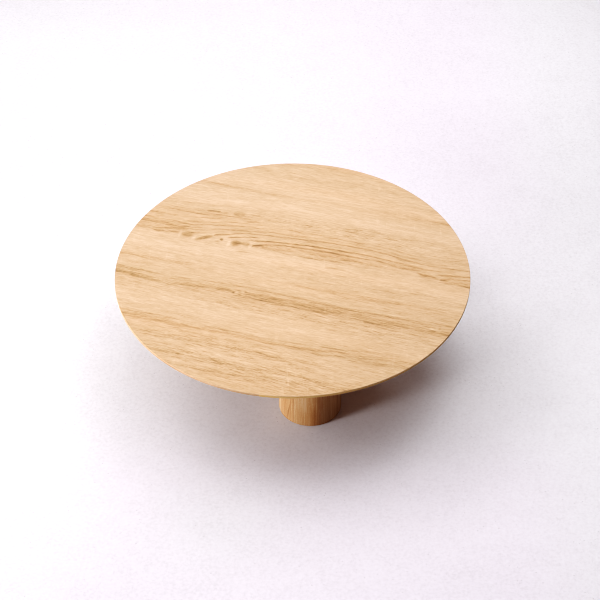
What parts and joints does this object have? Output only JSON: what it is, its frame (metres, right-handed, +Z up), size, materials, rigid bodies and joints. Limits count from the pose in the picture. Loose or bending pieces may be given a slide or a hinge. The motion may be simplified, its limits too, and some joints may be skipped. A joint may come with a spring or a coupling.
{
  "type": "folding low table",
  "caption": "Round low table with a thin bevel-edged disc top on fat coopered drum legs, each hinged at its side so that it folds flat against the underside.",
  "frame": {"origin": "on the floor, under the centre of the round top", "axes": "+Z up; the front that the picture shows is -Y; +X to the right"},
  "size_m": [0.8999, 0.9, 0.31],
  "materials": {
    "oak_face": "matt clear oil on oak veneer, open pores",
    "oak_solid": "matt clear oil on solid oak",
    "oak_staves": "matt clear oil on turned solid oak",
    "oak_balance": "sanded oak veneer, thin oil",
    "core_board": "raw fibreboard",
    "plywood": "raw birch plywood",
    "felt": "pressed wool felt",
    "zinc_steel": "zinc-plated, satin",
    "bright_steel": "bright zinc-plated",
    "spring_steel": "blued spring steel",
    "screw_steel": "zinc-plated",
    "nickel": "nickel-plated",
    "magnet": "nickel-plated magnet",
    "bumper_rubber": "matt black rubber"
  },
  "bodies": {
    "table_top": {"edge_lipping": "oak_solid", "leg_1_base_screws": "screw_steel", "leg_1_bumper_screw": "screw_steel", "leg_1_catch_cup": "nickel", "leg_1_catch_magnet": "magnet", "leg_1_catch_screw": "screw_steel", "leg_1_disc_springs": "spring_steel", "leg_1_fold_bumper": "bumper_rubber", "leg_1_hinge_base": "zinc_steel", "leg_1_hinge_bolt": "bright_steel", "leg_1_hinge_nut": "bright_steel", "leg_2_base_screws": "screw_steel", "leg_2_bumper_screw": "screw_steel", "leg_2_catch_cup": "nickel", "leg_2_catch_magnet": "magnet", "leg_2_catch_screw": "screw_steel", "leg_2_disc_springs": "spring_steel", "leg_2_fold_bumper": "bumper_rubber", "leg_2_hinge_base": "zinc_steel", "leg_2_hinge_bolt": "bright_steel", "leg_2_hinge_nut": "bright_steel", "leg_3_base_screws": "screw_steel", "leg_3_bumper_screw": "screw_steel", "leg_3_catch_cup": "nickel", "leg_3_catch_magnet": "magnet", "leg_3_catch_screw": "screw_steel", "leg_3_disc_springs": "spring_steel", "leg_3_fold_bumper": "bumper_rubber", "leg_3_hinge_base": "zinc_steel", "leg_3_hinge_bolt": "bright_steel", "leg_3_hinge_nut": "bright_steel", "lipping_spline": "plywood", "top_balance_veneer": "oak_balance", "top_core": "core_board", "top_face_veneer": "oak_face"},
    "leg_1": {"leg_1_arm_screws": "screw_steel", "leg_1_felt_glide": "felt", "leg_1_foot_plug": "plywood", "leg_1_hinge_arm": "zinc_steel", "leg_1_staves": "oak_staves", "leg_1_top_plug": "plywood"},
    "leg_2": {"leg_2_arm_screws": "screw_steel", "leg_2_felt_glide": "felt", "leg_2_foot_plug": "plywood", "leg_2_hinge_arm": "zinc_steel", "leg_2_staves": "oak_staves", "leg_2_top_plug": "plywood"},
    "leg_3": {"leg_3_arm_screws": "screw_steel", "leg_3_felt_glide": "felt", "leg_3_foot_plug": "plywood", "leg_3_hinge_arm": "zinc_steel", "leg_3_staves": "oak_staves", "leg_3_top_plug": "plywood"}
  },
  "joints": [
    {"name": "leg_1_fold", "type": "hinge", "parent": "table_top", "child": "leg_1", "pos_m": [0.12862, -0.13935, 0.2786], "axis": [0.2656, -0.9641, 0], "range_deg": [0, 90]},
    {"name": "leg_2_fold", "type": "hinge", "parent": "table_top", "child": "leg_2", "pos_m": [0.05637, 0.18106, 0.2786], "axis": [0.7022, 0.712, 0], "range_deg": [0, 90]},
    {"name": "leg_3_fold", "type": "hinge", "parent": "table_top", "child": "leg_3", "pos_m": [-0.18499, -0.04172, 0.2786], "axis": [-0.9677, 0.2521, 0], "range_deg": [0, 90]}
  ]
}
